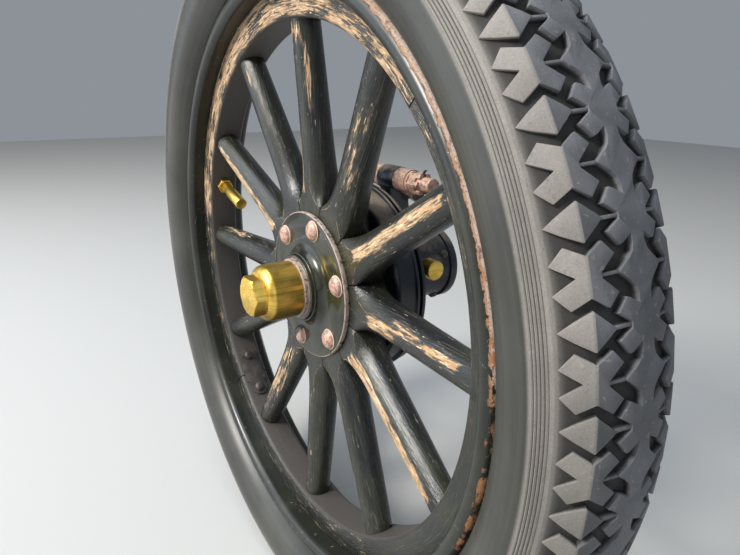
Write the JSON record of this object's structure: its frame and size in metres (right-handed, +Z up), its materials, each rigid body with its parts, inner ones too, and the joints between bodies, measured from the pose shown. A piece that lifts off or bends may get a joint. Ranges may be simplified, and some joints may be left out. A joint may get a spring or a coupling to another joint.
{
  "type": "wooden spoked car wheel on its axle end",
  "caption": "Wooden spoked wheel with a block-tread tyre, brass hub cap and brake drum, turning freely on a short axle end with its grease cup, spring perch and shackle.",
  "frame": {"origin": "on the axle's axis, at the mouth of the bearing housing's socket for the axle tube", "axes": "+Y along the axle towards the middle of the vehicle, -X towards its front, +Z up"},
  "size_m": [0.7669, 0.2445, 0.767],
  "materials": {
    "tyre_rubber": "matt dark grey rubber, a little dusty",
    "black_paint": "gloss black paint, worn at its edges",
    "painted_wood": "gloss black paint worn through to pale wood in streaks along the grain",
    "dull_steel": "dull dark steel with some dust",
    "worn_bolt": "black paint rubbed off to pinkish tan metal",
    "axle_paint": "blue-black paint with road dust",
    "brass": "polished brass with turning marks",
    "bright_steel": "turned steel"
  },
  "bodies": {
    "axle_end": {"backing_plate": "axle_paint", "brake_lever": "axle_paint", "bearing_housing": "axle_paint", "housing_bolts": "dull_steel", "tube_rivets": "dull_steel", "grease_cup": "brass", "spring_perch": "axle_paint", "perch_bolts": "dull_steel", "shackle_links": "worn_bolt", "shackle_bolt": "worn_bolt", "shackle_washer": "worn_bolt", "shackle_nut": "worn_bolt"},
    "wheel": {"tyre": "tyre_rubber", "rim": "black_paint", "felloe_forward": "painted_wood", "felloe_rearward": "painted_wood", "felloe_plates": "dull_steel", "felloe_rivets": "dull_steel", "spoke_01": "painted_wood", "spoke_02": "painted_wood", "spoke_03": "painted_wood", "spoke_04": "painted_wood", "spoke_05": "painted_wood", "spoke_06": "painted_wood", "spoke_07": "painted_wood", "spoke_08": "painted_wood", "spoke_09": "painted_wood", "spoke_10": "painted_wood", "spoke_11": "painted_wood", "spoke_12": "painted_wood", "hub": "black_paint", "hub_plate": "black_paint", "hub_bolts": "worn_bolt", "brake_drum": "axle_paint", "hub_cap": "brass", "axle_shaft": "bright_steel", "valve_stem": "brass", "valve_nut": "brass"}
  },
  "joints": [
    {"name": "wheel_spin", "type": "hinge", "parent": "axle_end", "child": "wheel", "pos_m": [0, -0.17, 0], "axis": [0, 1, 0], "continuous": true}
  ]
}
